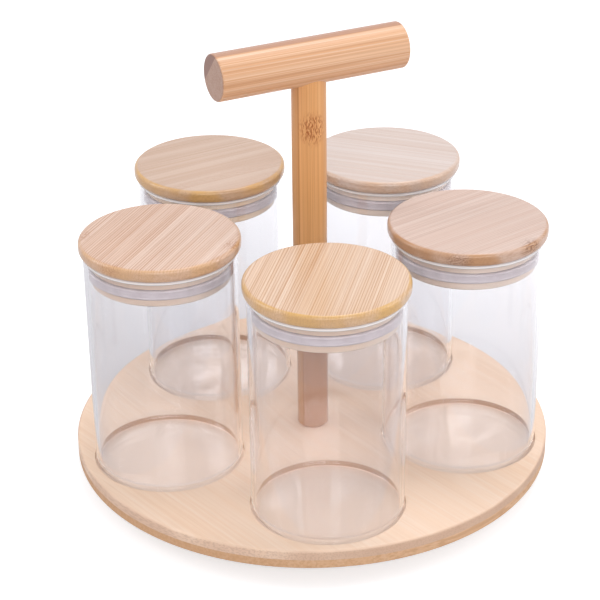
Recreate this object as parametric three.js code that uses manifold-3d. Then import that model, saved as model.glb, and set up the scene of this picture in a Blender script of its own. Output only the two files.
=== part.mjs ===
// Rotating jar rack: a two-ply bamboo board on a ring bearing, five glass jars with bamboo plug lids in round
// seats, and a post with a cross handle. Millimetres, +Z up, origin on the table below the centre of the post.
// The first jar stands at the front, towards -Y, and the others follow anticlockwise seen from above.
import * as THREE from "three";
import { mergeVertices } from "three/addons/utils/BufferGeometryUtils.js";
import Module from "manifold-3d";

// Glass jars
const JAR_COUNT = 5;
const FIRST_JAR_ANGLE = -84.5; // degrees from +X
const GLASS_DIAMETER = 76.5;
const GLASS_HEIGHT = 120;
const GLASS_WALL = 2;
const GLASS_FLOOR = 3;
const GLASS_HEEL_ROUND = 5;

// Lids and their seals
const LID_OVERHANG = 2; // beyond the glass
const LID_THICKNESS = 7;
const LID_TOP_ROUND = 2.2;
const LID_BOTTOM_ROUND = 3;
const LID_SPACING = 14.5; // between two neighbouring lids
const PLUG_CLEARANCE = 1.7; // plug to glass, bridged by the seal
const PLUG_TIP = 3.7; // wood below the seal's groove
const PLUG_CHAMFER = 0.8;
const SEAL_DROP = 5.2; // lid's underside to the seal's groove
const SEAL_HEIGHT = 5;
const SEAL_SINK = 1.6; // depth of the groove in the plug
const SEAL_BAND = 0.4; // how far the seal's band stands out of the plug between its lips

// Board
const UPPER_PLY = 5;
const LOWER_PLY = 5;
const SEAT_FLOOR = 1.5; // upper ply left below a jar
const SEAT_CLEARANCE = 0.5; // glass to the seat's wall
const BOARD_MARGIN = 5.45; // seat to the board's edge
const BOARD_EDGE_ROUND = 1.2;

// Post and handle
const POST_DIAMETER = 17.5;
const POST_CHAMFER = 0.8;
const HANDLE_DIAMETER = 23.5;
const HANDLE_LENGTH = 102;
const HANDLE_HEIGHT = 202.5; // board's top to the handle's axis
const HANDLE_ANGLE = 26.7; // degrees from +X
const HANDLE_END_ROUND = 1;
const SOCKET_ROOF = 9.5; // wood left above the post in the handle

// Ring bearing
const BALL_COUNT = 12;
const BALL_DIAMETER = 4;
const BALL_CIRCLE_DIAMETER = 117;
const BALL_CLEARANCE = 0.45; // ball to either groove
const CAGE_WALL = 1.6;
const CAGE_CLEARANCE = 0.6; // cage to either ring
const CAGE_RIM = 0.7; // above and below a ball's pocket
const RING_OVERLAP_MARGIN = 0.25; // rings reach past the cage, up and down
const RING_OFFSET = 1.5; // inner ring above outer ring
const RING_CHAMFER = 0.6;

// Screws and feet
const RING_SCREW_COUNT = 4;
const FIRST_RING_SCREW_ANGLE = 45; // degrees from +X
const RING_SCREW_DIAMETER = 3.5;
const RING_SCREW_HEAD = 7;
const RING_SCREW_MARGIN = 2; // head to the inner ring's edges
const RING_SCREW_COVER = 1; // lower ply left above the tip
const POST_SCREW_DIAMETER = 5;
const POST_SCREW_HEAD = 10;
const POST_SCREW_BITE = 35; // length inside the post
const SCREW_POINT = 2;
const PAD_COUNT = 4;
const PAD_DIAMETER = 9;
const PAD_STAND = 2; // below the outer ring
const PAD_SINK = 1; // inside the outer ring
const PAD_MARGIN = 0.8; // pad's pocket to the ring's edges
const PAD_CHAMFER = 0.4;

// Shared fits and smoothness
const FIT_GAP = 0.3; // between pieces that seat in or on each other
const CUT_PAST = 1; // how far a cutter runs past the face that it opens
const JAR_SIDES = 26;
const BOARD_SIDES = 64;
const SEAT_SIDES = 36;
const ROD_SIDES = 28;
const RING_SIDES = 36;
const SMALL_SIDES = 10;
const HEEL_STEPS = 3;
const GROOVE_STEPS = 4;
const BALL_SIDES = 8;
const BALL_RINGS = 5;
const MERGE_DISTANCE = 1e-4;

// Radii worked out from the sizes above
const glassRadius = GLASS_DIAMETER / 2;
const glassInnerRadius = glassRadius - GLASS_WALL;
const lidRadius = glassRadius + LID_OVERHANG;
const plugRadius = glassInnerRadius - PLUG_CLEARANCE;
const grooveRadius = plugRadius - SEAL_SINK;
const seatRadius = glassRadius + SEAT_CLEARANCE;
const jarCircleRadius = (lidRadius + LID_SPACING / 2) / Math.sin(Math.PI / JAR_COUNT);
const boardRadius = jarCircleRadius + seatRadius + BOARD_MARGIN;
const postRadius = POST_DIAMETER / 2;
const handleRadius = HANDLE_DIAMETER / 2;
const ballRadius = BALL_DIAMETER / 2;
const ballCircleRadius = BALL_CIRCLE_DIAMETER / 2;
const ringGap = CAGE_WALL + 2 * CAGE_CLEARANCE;
const outerRingInside = ballCircleRadius + ringGap / 2;
const outerRingWidth = PAD_DIAMETER + 2 * (FIT_GAP + PAD_MARGIN);
const innerRingOutside = ballCircleRadius - ringGap / 2;
const innerRingWidth = RING_SCREW_HEAD + 2 * RING_SCREW_MARGIN;
const ringScrewRadius = innerRingOutside - innerRingWidth / 2;
const padCircleRadius = outerRingInside + outerRingWidth / 2;

// Heights above the table, from the feet upwards
const pocketRadius = ballRadius + FIT_GAP;
const cageHeight = 2 * (pocketRadius + CAGE_RIM);
const ringHeight = cageHeight + 2 * RING_OVERLAP_MARGIN + RING_OFFSET;
const outerRingBottom = PAD_STAND;
const innerRingBottom = outerRingBottom + RING_OFFSET;
const ballHeight = outerRingBottom + (ringHeight + RING_OFFSET) / 2;
const boardBottom = innerRingBottom + ringHeight;
const plyLine = boardBottom + LOWER_PLY;
const boardTop = plyLine + UPPER_PLY;
const seatHeight = plyLine + SEAT_FLOOR;
const handleAxisHeight = boardTop + HANDLE_HEIGHT;
const socketDepth = HANDLE_DIAMETER - SOCKET_ROOF;
const postTop = handleAxisHeight - handleRadius + socketDepth - FIT_GAP;
const grooveHeight = SEAL_HEIGHT + 2 * FIT_GAP;
const plugDepth = SEAL_DROP + grooveHeight + PLUG_TIP;
const ringScrewLength = ringHeight + LOWER_PLY - RING_SCREW_COVER;
const postScrewLength = LOWER_PLY + UPPER_PLY + POST_SCREW_BITE;

// Colour, roughness and metalness of each finish
const LOOKS = {
  boardTop: { color: "#efd3bf", roughness: 0.6, metalness: 0 },
  boardLower: { color: "#d2a279", roughness: 0.65, metalness: 0 },
  lid: { color: "#e4c4ae", roughness: 0.6, metalness: 0 },
  post: { color: "#d4966a", roughness: 0.55, metalness: 0 },
  handle: { color: "#e7b794", roughness: 0.55, metalness: 0 },
  glass: { color: "#f4f6f6", roughness: 0.05, metalness: 0, transparent: true, opacity: 0.3 },
  silicone: { color: "#eeebe6", roughness: 0.5, metalness: 0 },
  aluminium: { color: "#c9ccd0", roughness: 0.4, metalness: 1 },
  steel: { color: "#b9bcc0", roughness: 0.3, metalness: 1 },
  nylon: { color: "#e9e7e0", roughness: 0.6, metalness: 0 },
  rubber: { color: "#2b2b2c", roughness: 0.85, metalness: 0 },
};

const wasm = await Module();
wasm.setup();

// Points of a profile: radius from the axis and height along it.
const point = (radius, height) => new THREE.Vector2(radius, height);

// Points along a round stretch of a profile, both ends included, between two angles in degrees.
function arc(centreRadius, centreHeight, round, from, to, steps = 2) {
  const points = [];
  for (let i = 0; i <= steps; i += 1) {
    const angle = THREE.MathUtils.degToRad(from + ((to - from) * i) / steps);
    points.push(point(centreRadius + round * Math.cos(angle), centreHeight + round * Math.sin(angle)));
  }
  return points;
}

// Merges shared corners, and drops the empty triangles that a lathe leaves on its axis.
function weld(geometry) {
  const bare = geometry.clone();
  bare.deleteAttribute("normal");
  bare.deleteAttribute("uv");
  const merged = mergeVertices(bare, MERGE_DISTANCE);
  const corners = Array.from(merged.index.array);
  const kept = [];
  for (let i = 0; i < corners.length; i += 3) {
    const triangle = corners.slice(i, i + 3);
    if (new Set(triangle).size === 3) kept.push(...triangle);
  }
  merged.setIndex(kept);
  return merged;
}

// A profile turned about +Z. It starts and ends on the axis, or closes on itself.
function turned(profile, sides) {
  const geometry = new THREE.LatheGeometry(profile, sides);
  geometry.rotateX(Math.PI / 2);
  return weld(geometry);
}

// A ring whose cross-section is the given loop of points.
function turnedRing(loop, sides) {
  return turned([...loop, loop[0].clone()], sides);
}

// An upright cylinder that stands on the given height.
function uprightCylinder(radius, height, bottom, sides) {
  const geometry = new THREE.CylinderGeometry(radius, radius, height, sides);
  geometry.rotateX(Math.PI / 2);
  geometry.translate(0, 0, bottom + height / 2);
  return weld(geometry);
}

function toSolid(geometry) {
  const vertProperties = geometry.attributes.position.array;
  const triVerts = new Uint32Array(geometry.index.array);
  return new wasm.Manifold(new wasm.Mesh({ numProp: 3, vertProperties, triVerts }));
}

function toGeometry(solid) {
  const { vertProperties, triVerts } = solid.getMesh();
  const geometry = new THREE.BufferGeometry();
  geometry.setAttribute("position", new THREE.BufferAttribute(vertProperties, 3));
  geometry.setIndex(new THREE.BufferAttribute(triVerts, 1));
  return geometry;
}

// A geometry with each of the cutters taken out of it.
function cut(geometry, cutters) {
  let solid = toSolid(geometry);
  for (const cutter of cutters) solid = solid.subtract(toSolid(cutter));
  return toGeometry(solid);
}

// Angles in radians of evenly spaced copies round +Z.
function evenAngles(count, first = 0) {
  const start = THREE.MathUtils.degToRad(first);
  return Array.from({ length: count }, (_, i) => start + (2 * Math.PI * i) / count);
}

// A copy of an upright cutter moved out to a place on a circle round +Z.
function atCircle(geometry, radius, angle) {
  return geometry.clone().translate(radius * Math.cos(angle), radius * Math.sin(angle), 0);
}

function piece(name, geometry, look) {
  geometry.computeVertexNormals();
  const mesh = new THREE.Mesh(geometry, new THREE.MeshStandardMaterial(look));
  mesh.name = name;
  return mesh;
}

// Puts a piece on a circle round +Z, at a height.
function place(mesh, radius, angle, height) {
  mesh.position.set(radius * Math.cos(angle), radius * Math.sin(angle), height);
  return mesh;
}

// Jar: an upright wall between a round heel and a fire-polished rim, hollow, open at the top.
function glassProfile() {
  const innerHeel = GLASS_HEEL_ROUND - GLASS_WALL;
  const rim = GLASS_WALL / 2;
  return [
    point(0, 0),
    ...arc(glassRadius - GLASS_HEEL_ROUND, GLASS_HEEL_ROUND, GLASS_HEEL_ROUND, -90, 0, HEEL_STEPS),
    ...arc(glassRadius - rim, GLASS_HEIGHT - rim, rim, 0, 180),
    ...arc(glassInnerRadius - innerHeel, GLASS_FLOOR + innerHeel, innerHeel, 0, -90, HEEL_STEPS),
    point(0, GLASS_FLOOR),
  ];
}

// Lid: a disc with rounded edges and a grooved plug below. Height 0 is the disc's underside.
function lidProfile() {
  const topRound = Math.min(LID_TOP_ROUND, LID_THICKNESS - LID_BOTTOM_ROUND);
  const grooveBottom = -(SEAL_DROP + grooveHeight);
  return [
    point(0, -plugDepth),
    point(plugRadius - PLUG_CHAMFER, -plugDepth),
    point(plugRadius, -plugDepth + PLUG_CHAMFER),
    point(plugRadius, grooveBottom),
    point(grooveRadius, grooveBottom),
    point(grooveRadius, -SEAL_DROP),
    point(plugRadius, -SEAL_DROP),
    point(plugRadius, 0),
    ...arc(lidRadius - LID_BOTTOM_ROUND, LID_BOTTOM_ROUND, LID_BOTTOM_ROUND, -90, 0),
    ...arc(lidRadius - topRound, LID_THICKNESS - topRound, topRound, 0, 90),
    point(0, LID_THICKNESS),
  ];
}

// Seal: a band in the plug's groove with two lips that reach for the glass.
function sealLoop() {
  const bottom = -(SEAL_DROP + FIT_GAP + SEAL_HEIGHT);
  const inside = grooveRadius + FIT_GAP;
  const band = plugRadius + SEAL_BAND;
  const lip = glassInnerRadius - FIT_GAP;
  return [
    point(inside, bottom),
    point(band, bottom),
    point(lip, bottom + SEAL_HEIGHT / 4),
    point(band, bottom + SEAL_HEIGHT / 2),
    point(lip, bottom + (SEAL_HEIGHT * 3) / 4),
    point(band, bottom + SEAL_HEIGHT),
    point(inside, bottom + SEAL_HEIGHT),
  ];
}

// One jar with its lid and seal, in a group that stands in its seat.
function jarSet(number, angle) {
  const glassBottom = seatHeight + FIT_GAP;
  const lidHeight = glassBottom + GLASS_HEIGHT + FIT_GAP;
  const glass = piece(`jar_${number}_glass`, turned(glassProfile(), JAR_SIDES), LOOKS.glass);
  const lid = piece(`lid_${number}`, turned(lidProfile(), JAR_SIDES), LOOKS.lid);
  const seal = piece(`lid_${number}_seal`, turnedRing(sealLoop(), JAR_SIDES), LOOKS.silicone);
  glass.position.z = glassBottom;
  lid.position.z = lidHeight;
  seal.position.z = lidHeight;
  const group = new THREE.Group();
  group.add(glass, lid, seal);
  return place(group, jarCircleRadius, angle, 0);
}

// Countersunk wood screw, head down, with its length from the head's face to its point.
function screwGeometry(diameter, head, length, grow = 0) {
  const radius = diameter / 2 + grow;
  const headRadius = head / 2 + grow;
  return turned(
    [
      point(0, 0),
      point(headRadius, 0),
      point(radius, headRadius - radius),
      point(radius, length - SCREW_POINT + grow),
      point(0, length + grow),
    ],
    SMALL_SIDES,
  );
}

// Hole for such a screw, open below the head's face.
function screwHole(diameter, head, length, headHeight) {
  const hole = screwGeometry(diameter, head, length, FIT_GAP);
  const mouth = uprightCylinder(head / 2 + FIT_GAP, CUT_PAST, -CUT_PAST, SMALL_SIDES);
  return toGeometry(toSolid(hole).add(toSolid(mouth))).translate(0, 0, headHeight);
}

const ringScrewAngles = evenAngles(RING_SCREW_COUNT, FIRST_RING_SCREW_ANGLE);
const jarAngles = evenAngles(JAR_COUNT, FIRST_JAR_ANGLE);

const ringScrewHoles = ringScrewAngles.map((angle) =>
  atCircle(
    screwHole(RING_SCREW_DIAMETER, RING_SCREW_HEAD, ringScrewLength, innerRingBottom),
    ringScrewRadius,
    angle,
  ),
);
const postScrewHole = screwHole(POST_SCREW_DIAMETER, POST_SCREW_HEAD, postScrewLength, boardBottom);

// Lower ply: a disc with a rounded lower edge, bored for the screws.
function lowerPly() {
  const round = Math.min(BOARD_EDGE_ROUND, LOWER_PLY);
  const disc = turned(
    [
      point(0, boardBottom),
      ...arc(boardRadius - round, boardBottom + round, round, -90, 0),
      point(boardRadius, plyLine),
      point(0, plyLine),
    ],
    BOARD_SIDES,
  );
  return piece("board_lower_ply", cut(disc, [...ringScrewHoles, postScrewHole]), LOOKS.boardLower);
}

// Upper ply: a disc with a rounded upper edge and a round seat for each jar.
function upperPly() {
  const round = Math.min(BOARD_EDGE_ROUND, UPPER_PLY);
  const disc = turned(
    [
      point(0, plyLine),
      point(boardRadius, plyLine),
      ...arc(boardRadius - round, boardTop - round, round, 0, 90),
      point(0, boardTop),
    ],
    BOARD_SIDES,
  );
  const seatDepth = UPPER_PLY - SEAT_FLOOR;
  const seat = uprightCylinder(seatRadius, seatDepth + CUT_PAST, seatHeight, SEAT_SIDES);
  const seats = jarAngles.map((angle) => atCircle(seat, jarCircleRadius, angle));
  return piece("board_upper_ply", cut(disc, [...seats, postScrewHole]), LOOKS.boardTop);
}

// Post: a dowel that stands on the board, bored at its foot for the screw.
function post() {
  const dowel = turned(
    [
      point(0, boardTop),
      point(postRadius - POST_CHAMFER, boardTop),
      point(postRadius, boardTop + POST_CHAMFER),
      point(postRadius, postTop),
      point(0, postTop),
    ],
    ROD_SIDES,
  );
  return piece("post", cut(dowel, [postScrewHole]), LOOKS.post);
}

// Handle: a dowel across the post, with a blind socket bored from below for the post's top.
function handle() {
  const half = HANDLE_LENGTH / 2;
  const bar = turned(
    [
      point(0, -half),
      ...arc(handleRadius - HANDLE_END_ROUND, HANDLE_END_ROUND - half, HANDLE_END_ROUND, -90, 0),
      ...arc(handleRadius - HANDLE_END_ROUND, half - HANDLE_END_ROUND, HANDLE_END_ROUND, 0, 90),
      point(0, half),
    ],
    ROD_SIDES,
  );
  bar.rotateY(Math.PI / 2);
  const socketBottom = -handleRadius - CUT_PAST;
  const socket = uprightCylinder(postRadius + FIT_GAP, socketDepth + CUT_PAST, socketBottom, ROD_SIDES);
  const mesh = piece("handle_bar", cut(bar, [socket]), LOOKS.handle);
  mesh.rotation.z = THREE.MathUtils.degToRad(HANDLE_ANGLE);
  mesh.position.z = handleAxisHeight;
  return mesh;
}

// The ball groove in a ring's face, round the direction that it faces away from the balls, in degrees.
function ballGroove(direction) {
  const round = ballRadius + BALL_CLEARANCE;
  const half = THREE.MathUtils.radToDeg(Math.acos(ringGap / 2 / round));
  return arc(ballCircleRadius, ballHeight, round, direction + half, direction - half, GROOVE_STEPS);
}

// Outer ring: stands on the pads, with a ball groove round its inside.
function outerRing() {
  const outside = outerRingInside + outerRingWidth;
  const top = outerRingBottom + ringHeight;
  const ring = turnedRing(
    [
      point(outerRingInside, outerRingBottom),
      point(outside - RING_CHAMFER, outerRingBottom),
      point(outside, outerRingBottom + RING_CHAMFER),
      point(outside, top - RING_CHAMFER),
      point(outside - RING_CHAMFER, top),
      point(outerRingInside, top),
      ...ballGroove(0),
    ],
    RING_SIDES,
  );
  const pocketRoof = outerRingBottom + PAD_SINK;
  const pocketHeight = PAD_SINK + CUT_PAST;
  const padPocketRadius = PAD_DIAMETER / 2 + FIT_GAP;
  const pocket = uprightCylinder(padPocketRadius, pocketHeight, pocketRoof - pocketHeight, SMALL_SIDES);
  const pockets = evenAngles(PAD_COUNT).map((angle) => atCircle(pocket, padCircleRadius, angle));
  return piece("bearing_base_ring", cut(ring, pockets), LOOKS.aluminium);
}

// Inner ring: screwed to the board, with a ball groove round its outside.
function innerRing() {
  const inside = innerRingOutside - innerRingWidth;
  const top = innerRingBottom + ringHeight;
  const ring = turnedRing(
    [
      point(inside, top),
      point(inside, innerRingBottom + RING_CHAMFER),
      point(inside + RING_CHAMFER, innerRingBottom),
      point(innerRingOutside, innerRingBottom),
      ...ballGroove(180),
      point(innerRingOutside, top),
    ],
    RING_SIDES,
  );
  return piece("bearing_top_ring", cut(ring, ringScrewHoles), LOOKS.aluminium);
}

// Cage: a thin hoop between the rings with a round pocket for each ball.
function ballCage(ballAngles) {
  const inside = ballCircleRadius - CAGE_WALL / 2;
  const outside = ballCircleRadius + CAGE_WALL / 2;
  const bottom = ballHeight - cageHeight / 2;
  const top = ballHeight + cageHeight / 2;
  const hoop = turnedRing(
    [point(inside, bottom), point(outside, bottom), point(outside, top), point(inside, top)],
    RING_SIDES,
  );
  const pocketLength = CAGE_WALL + 2 * CUT_PAST;
  const pocket = new THREE.CylinderGeometry(pocketRadius, pocketRadius, pocketLength, SMALL_SIDES);
  pocket.rotateZ(Math.PI / 2);
  pocket.translate(ballCircleRadius, 0, ballHeight);
  const pockets = ballAngles.map((angle) => weld(pocket.clone().rotateZ(angle)));
  return piece("ball_cage", cut(hoop, pockets), LOOKS.nylon);
}

function ball(number, angle) {
  const geometry = weld(new THREE.SphereGeometry(ballRadius, BALL_SIDES, BALL_RINGS));
  const name = `bearing_ball_${String(number).padStart(2, "0")}`;
  return place(piece(name, geometry, LOOKS.steel), ballCircleRadius, angle, ballHeight);
}

function ringScrew(number, angle) {
  const geometry = screwGeometry(RING_SCREW_DIAMETER, RING_SCREW_HEAD, ringScrewLength);
  return place(piece(`ring_screw_${number}`, geometry, LOOKS.steel), ringScrewRadius, angle, innerRingBottom);
}

function postScrew() {
  const geometry = screwGeometry(POST_SCREW_DIAMETER, POST_SCREW_HEAD, postScrewLength);
  return place(piece("post_screw", geometry, LOOKS.steel), 0, 0, boardBottom);
}

// Foot pad: a rubber button glued in a pocket under the outer ring.
function footPad(number, angle) {
  const radius = PAD_DIAMETER / 2;
  const geometry = turned(
    [
      point(0, 0),
      point(radius - PAD_CHAMFER, 0),
      point(radius, PAD_CHAMFER),
      point(radius, PAD_STAND + PAD_SINK),
      point(0, PAD_STAND + PAD_SINK),
    ],
    SMALL_SIDES,
  );
  return place(piece(`foot_pad_${number}`, geometry, LOOKS.rubber), padCircleRadius, angle, 0);
}

const base = new THREE.Group();
base.add(outerRing(), ...evenAngles(PAD_COUNT).map((angle, i) => footPad(i + 1, angle)));

const ballAngles = evenAngles(BALL_COUNT);
const rollingSet = new THREE.Group();
rollingSet.add(ballCage(ballAngles), ...ballAngles.map((angle, i) => ball(i + 1, angle)));

const turntable = new THREE.Group();
turntable.add(innerRing(), ...ringScrewAngles.map((angle, i) => ringScrew(i + 1, angle)));
turntable.add(lowerPly(), upperPly(), postScrew(), post(), handle());
turntable.add(...jarAngles.map((angle, i) => jarSet(i + 1, angle)));

const rack = new THREE.Group();
rack.add(base, rollingSet, turntable);

export default rack;
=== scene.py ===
"""Looks of a rotating jar rack: bamboo board, post, handle and lids, glass jars, seals and a ring bearing."""
import math

import bmesh
import bpy
import numpy as np
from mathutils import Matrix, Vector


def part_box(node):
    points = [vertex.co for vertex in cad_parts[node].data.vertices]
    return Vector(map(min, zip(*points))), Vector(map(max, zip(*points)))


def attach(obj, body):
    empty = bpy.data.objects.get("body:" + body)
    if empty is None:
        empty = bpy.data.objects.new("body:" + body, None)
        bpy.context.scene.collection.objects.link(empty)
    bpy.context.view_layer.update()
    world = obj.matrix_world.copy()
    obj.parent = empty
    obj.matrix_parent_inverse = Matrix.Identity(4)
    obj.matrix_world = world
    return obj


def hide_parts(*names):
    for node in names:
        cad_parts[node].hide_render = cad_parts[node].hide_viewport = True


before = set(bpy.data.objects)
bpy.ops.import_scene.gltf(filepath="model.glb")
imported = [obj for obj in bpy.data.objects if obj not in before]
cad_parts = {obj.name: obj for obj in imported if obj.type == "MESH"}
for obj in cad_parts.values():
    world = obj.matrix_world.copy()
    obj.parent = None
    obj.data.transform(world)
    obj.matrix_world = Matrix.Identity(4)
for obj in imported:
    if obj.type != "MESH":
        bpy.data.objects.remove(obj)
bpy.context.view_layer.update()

# Sizes in millimetres and angles in degrees, as in the solids
MM = 0.001
JAR_COUNT = 5
GLASS_RADIUS = 38.25
GLASS_WALL = 2.0
GLASS_FLOOR = 3.0
GLASS_HEEL_ROUND = 5.0
LID_RADIUS = 40.25
LID_THICKNESS = 7.0
LID_TOP_ROUND = 2.2
LID_BOTTOM_ROUND = 3.0
PLUG_RADIUS = 34.55
PLUG_CHAMFER = 0.8
SEAL_SINK = 1.6
SEAL_PROUD = 1.4
GROOVE_MARGIN = 0.3
BOARD_RADIUS = 125.0
BOARD_EDGE_ROUND = 1.2
SEAT_RADIUS = 38.75
SEAT_DEPTH = 3.5
POST_RADIUS = 8.75
POST_CHAMFER = 0.8
HANDLE_RADIUS = 11.75
HANDLE_LENGTH = 102.0
HANDLE_ANGLE = 26.7
HANDLE_END_ROUND = 1.0
BALL_RADIUS = 2.0
BALL_CIRCLE_RADIUS = 58.5
GROOVE_RADIUS = 2.45
OUTER_RING = (59.9, 71.1)
INNER_RING = (46.1, 57.1)
RING_CHAMFER = 0.6
PAD_COUNT = 4
PAD_RADIUS = 4.5
RING_SCREW_COUNT = 4
RING_SCREW_FIRST_ANGLE = 45.0
RING_SCREW_RADIUS = 1.75
RING_SCREW_HEAD = 3.5
POST_SCREW_RADIUS = 2.5
POST_SCREW_HEAD = 5.0
SCREW_POINT = 2.0
FIT_GAP = 0.3

# Of these finer shapes alone: sizes in millimetres, angles in degrees, and shares of a screw head's radius
SEAT_EDGE_ROUND = 0.4
SEAL_ROUND = 0.9
SEAL_LIP_ANGLE = 35.0
PAD_EDGE_ROUND = 0.5
PAD_ROOF_GAP = 0.02
SCREW_HOLE_ROOF = 1.0
HOLE_SECTOR = 10.0
CROSS_REACH = 0.62
CROSS_REACH_FADE = 0.1
CROSS_WIDTH = 0.2
CROSS_WIDTH_FADE = 0.06
CROSS_DEPTH = 0.35

# Smoothness of the turned pieces: sides of a full turn, and steps of an arc, a sector or a face
JAR_SIDES = 128
BOARD_SIDES = 256
BOARD_STEPS = 40
RING_STEPS = 24
ROD_SIDES = 96
SMALL_SIDES = 48
BALL_SIDES = 32
BALL_STEPS = 16
SCREW_FACE_STEPS = 24
ARC_STEPS = 8
HEEL_STEPS = 20
SUPPORT = 0.12  # millimetres from the end of a straight run
LONG_RUN = 8 * SUPPORT
RULING = (0.0, 0.01, 0.25, 0.5, 0.75, 0.99, 1.0)  # shares of the way from a hole's edge to its sector's rim
SHARP_DEGREES = 35.0
WELD_DISTANCE = 1e-6  # metres
TINY = 1e-6  # a length or an angle that counts as none

# Camera found from the photograph: place in metres, turn in degrees, lens in millimetres
CAMERA_PLACE = (0.0, -0.8746, 0.53913)
CAMERA_TURN = (62.969, 0.612, 0.047)
CAMERA_LENS = 113.3
SENSOR_WIDTH = 36.0


# Places read from the frame
def node_place(node):
    """Centre in x and y, and lowest and highest z, of a node, in millimetres."""
    low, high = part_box(node)
    return np.array([low.x + high.x, low.y + high.y]) / 2 / MM, low.z / MM, high.z / MM


# Surfaces
def arc(centre_radius, centre_height, round_radius, start, end, steps=ARC_STEPS):
    """Profile points on a circle: centre + round * (cos, sin) of the angles from start to end, in degrees."""
    angles = np.radians(np.linspace(start, end, steps + 1))
    return np.column_stack(
        [centre_radius + round_radius * np.cos(angles), centre_height + round_radius * np.sin(angles)]
    )


def profile(*stretches):
    """A profile of radius and height, joined from single points and arcs. Each long straight run gets a point
    close to both its ends, at end + support * direction, so that it shades flat beside a round neighbour."""
    points = np.vstack([np.atleast_2d(stretch) for stretch in stretches])
    run = np.diff(points, axis=0)
    length = np.linalg.norm(run, axis=1, keepdims=True)
    direction = run / np.maximum(length, TINY)
    parts = np.stack(
        [points[:-1], points[:-1] + SUPPORT * direction, points[1:] - SUPPORT * direction], axis=1
    )
    is_long = length[:, 0] > LONG_RUN
    kept = np.column_stack([np.ones(len(run), bool), is_long, is_long])
    return np.vstack([parts[kept], points[-1:]])


def turned(outline, centre=(0.0, 0.0), sides=JAR_SIDES, angles=None):
    """Outline turned about an upright axis: (centre + radius * (cos, sin), height) for each angle. The angles
    make a full turn unless others are given."""
    if angles is None:
        angles = np.linspace(0, 2 * np.pi, sides + 1)
    radius = outline[:, :1]
    x = centre[0] + radius * np.cos(angles)
    y = centre[1] + radius * np.sin(angles)
    z = np.broadcast_to(outline[:, 1:], x.shape)
    return np.stack([x, y, z], axis=-1)


def window_rim(half_angle, inner, outer, steps):
    """Rim of a ring's sector as a loop: outer arc, side line inwards, inner arc back, side line outwards."""
    turn = np.linspace(-half_angle, half_angle, steps + 1)
    reach = np.linspace(outer, inner, steps + 1)
    outer_arc = outer * np.column_stack([np.cos(turn), np.sin(turn)])
    inner_arc = inner * np.column_stack([np.cos(turn[::-1]), np.sin(turn[::-1])])
    left_side = reach[:, None] * np.array([np.cos(half_angle), np.sin(half_angle)])
    right_side = reach[::-1, None] * np.array([np.cos(half_angle), -np.sin(half_angle)])
    return np.vstack([outer_arc, left_side, inner_arc, right_side])


def pierced(level, holes, window, walls, steps):
    """Sheets of a flat ring with round holes in one face, and of the rest of the turned body.

    Each hole lies in a sector of the ring, its window. The face there is ruled: hole point + share * (rim
    point - hole point), with both points on one ray from the hole's centre. The hole is its own profile,
    turned about that centre. Plain sectors fill the face between the windows, and walls is the profile of the
    body from the face's outer edge round to its inner edge.
    """
    count, first, circle, hole_profile = holes
    half_angle, inner, outer = window
    share = np.array(RULING)[:, None, None]
    gap = 2 * np.pi / count - 2 * half_angle
    sheets = []
    turns = []
    for centre_angle in first + 2 * np.pi * np.arange(count) / count:
        ahead = np.array([np.cos(centre_angle), np.sin(centre_angle)])
        turn_matrix = np.array([ahead, [-ahead[1], ahead[0]]])
        centre = circle * ahead
        rim = window_rim(half_angle, inner, outer, steps) @ turn_matrix
        rays = rim - centre
        rays = rays / np.linalg.norm(rays, axis=1, keepdims=True)
        edge = centre + hole_profile[0, 0] * rays
        face = edge + share * (rim - edge)
        sheets.append(np.concatenate([face, np.full(face.shape[:2] + (1,), level)], axis=-1))
        wall = centre + hole_profile[:, None, :1] * rays
        height = np.broadcast_to(hole_profile[:, None, 1:], wall.shape[:2] + (1,))
        sheets.append(np.concatenate([wall, height], axis=-1))
        turns.append(centre_angle + np.linspace(-half_angle, half_angle, steps + 1))
        if gap > TINY:
            between = centre_angle + half_angle + gap * np.linspace(0, 1, steps + 1)
            flat = np.column_stack([np.linspace(inner, outer, steps + 1), np.full(steps + 1, level)])
            sheets.append(turned(flat, angles=between))
            turns.append(between)
    sheets.append(turned(walls, angles=np.concatenate(turns)))
    return sheets


def piece(name, sheets):
    """One mesh from sheets of points in millimetres: each sheet's grid cells are its faces, and shared edges
    and poles are welded."""
    corners = []
    faces = []
    start = 0
    for sheet in sheets:
        rows, columns = sheet.shape[:2]
        index = start + np.arange(rows * columns).reshape(rows, columns)
        cells = np.stack([index[:-1, :-1], index[:-1, 1:], index[1:, 1:], index[1:, :-1]], axis=-1)
        corners.append(sheet.reshape(-1, 3))
        faces.append(cells.reshape(-1, 4))
        start += rows * columns
    mesh = bpy.data.meshes.new(name)
    mesh.from_pydata(np.vstack(corners) * MM, [], np.vstack(faces).tolist())
    work = bmesh.new()
    work.from_mesh(mesh)
    bmesh.ops.remove_doubles(work, verts=work.verts, dist=WELD_DISTANCE)
    bmesh.ops.recalc_face_normals(work, faces=work.faces)
    work.to_mesh(mesh)
    work.free()
    mesh.polygons.foreach_set("use_smooth", np.ones(len(mesh.polygons), bool))
    mesh.set_sharp_from_angle(angle=math.radians(SHARP_DEGREES))
    made = bpy.data.objects.new(name, mesh)
    bpy.context.scene.collection.objects.link(made)
    return made


def dress(made, material, body, node):
    """Gives a piece its material and its body, and hides the node that it stands for."""
    made.data.materials.append(material)
    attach(made, body)
    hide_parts(node)


# Materials
# A map range has its value at input 0, and takes inputs 1 and 2 to inputs 3 and 4, or to 0 and 1
SMOOTH = {"interpolation_type": "SMOOTHSTEP"}

# A mix of colours has its share at input 0, its colours at inputs 6 and 7 and its result at output 2
COLOURS = {"data_type": "RGBA", "out": 2}
WHITE = "#ffffff"


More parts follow.
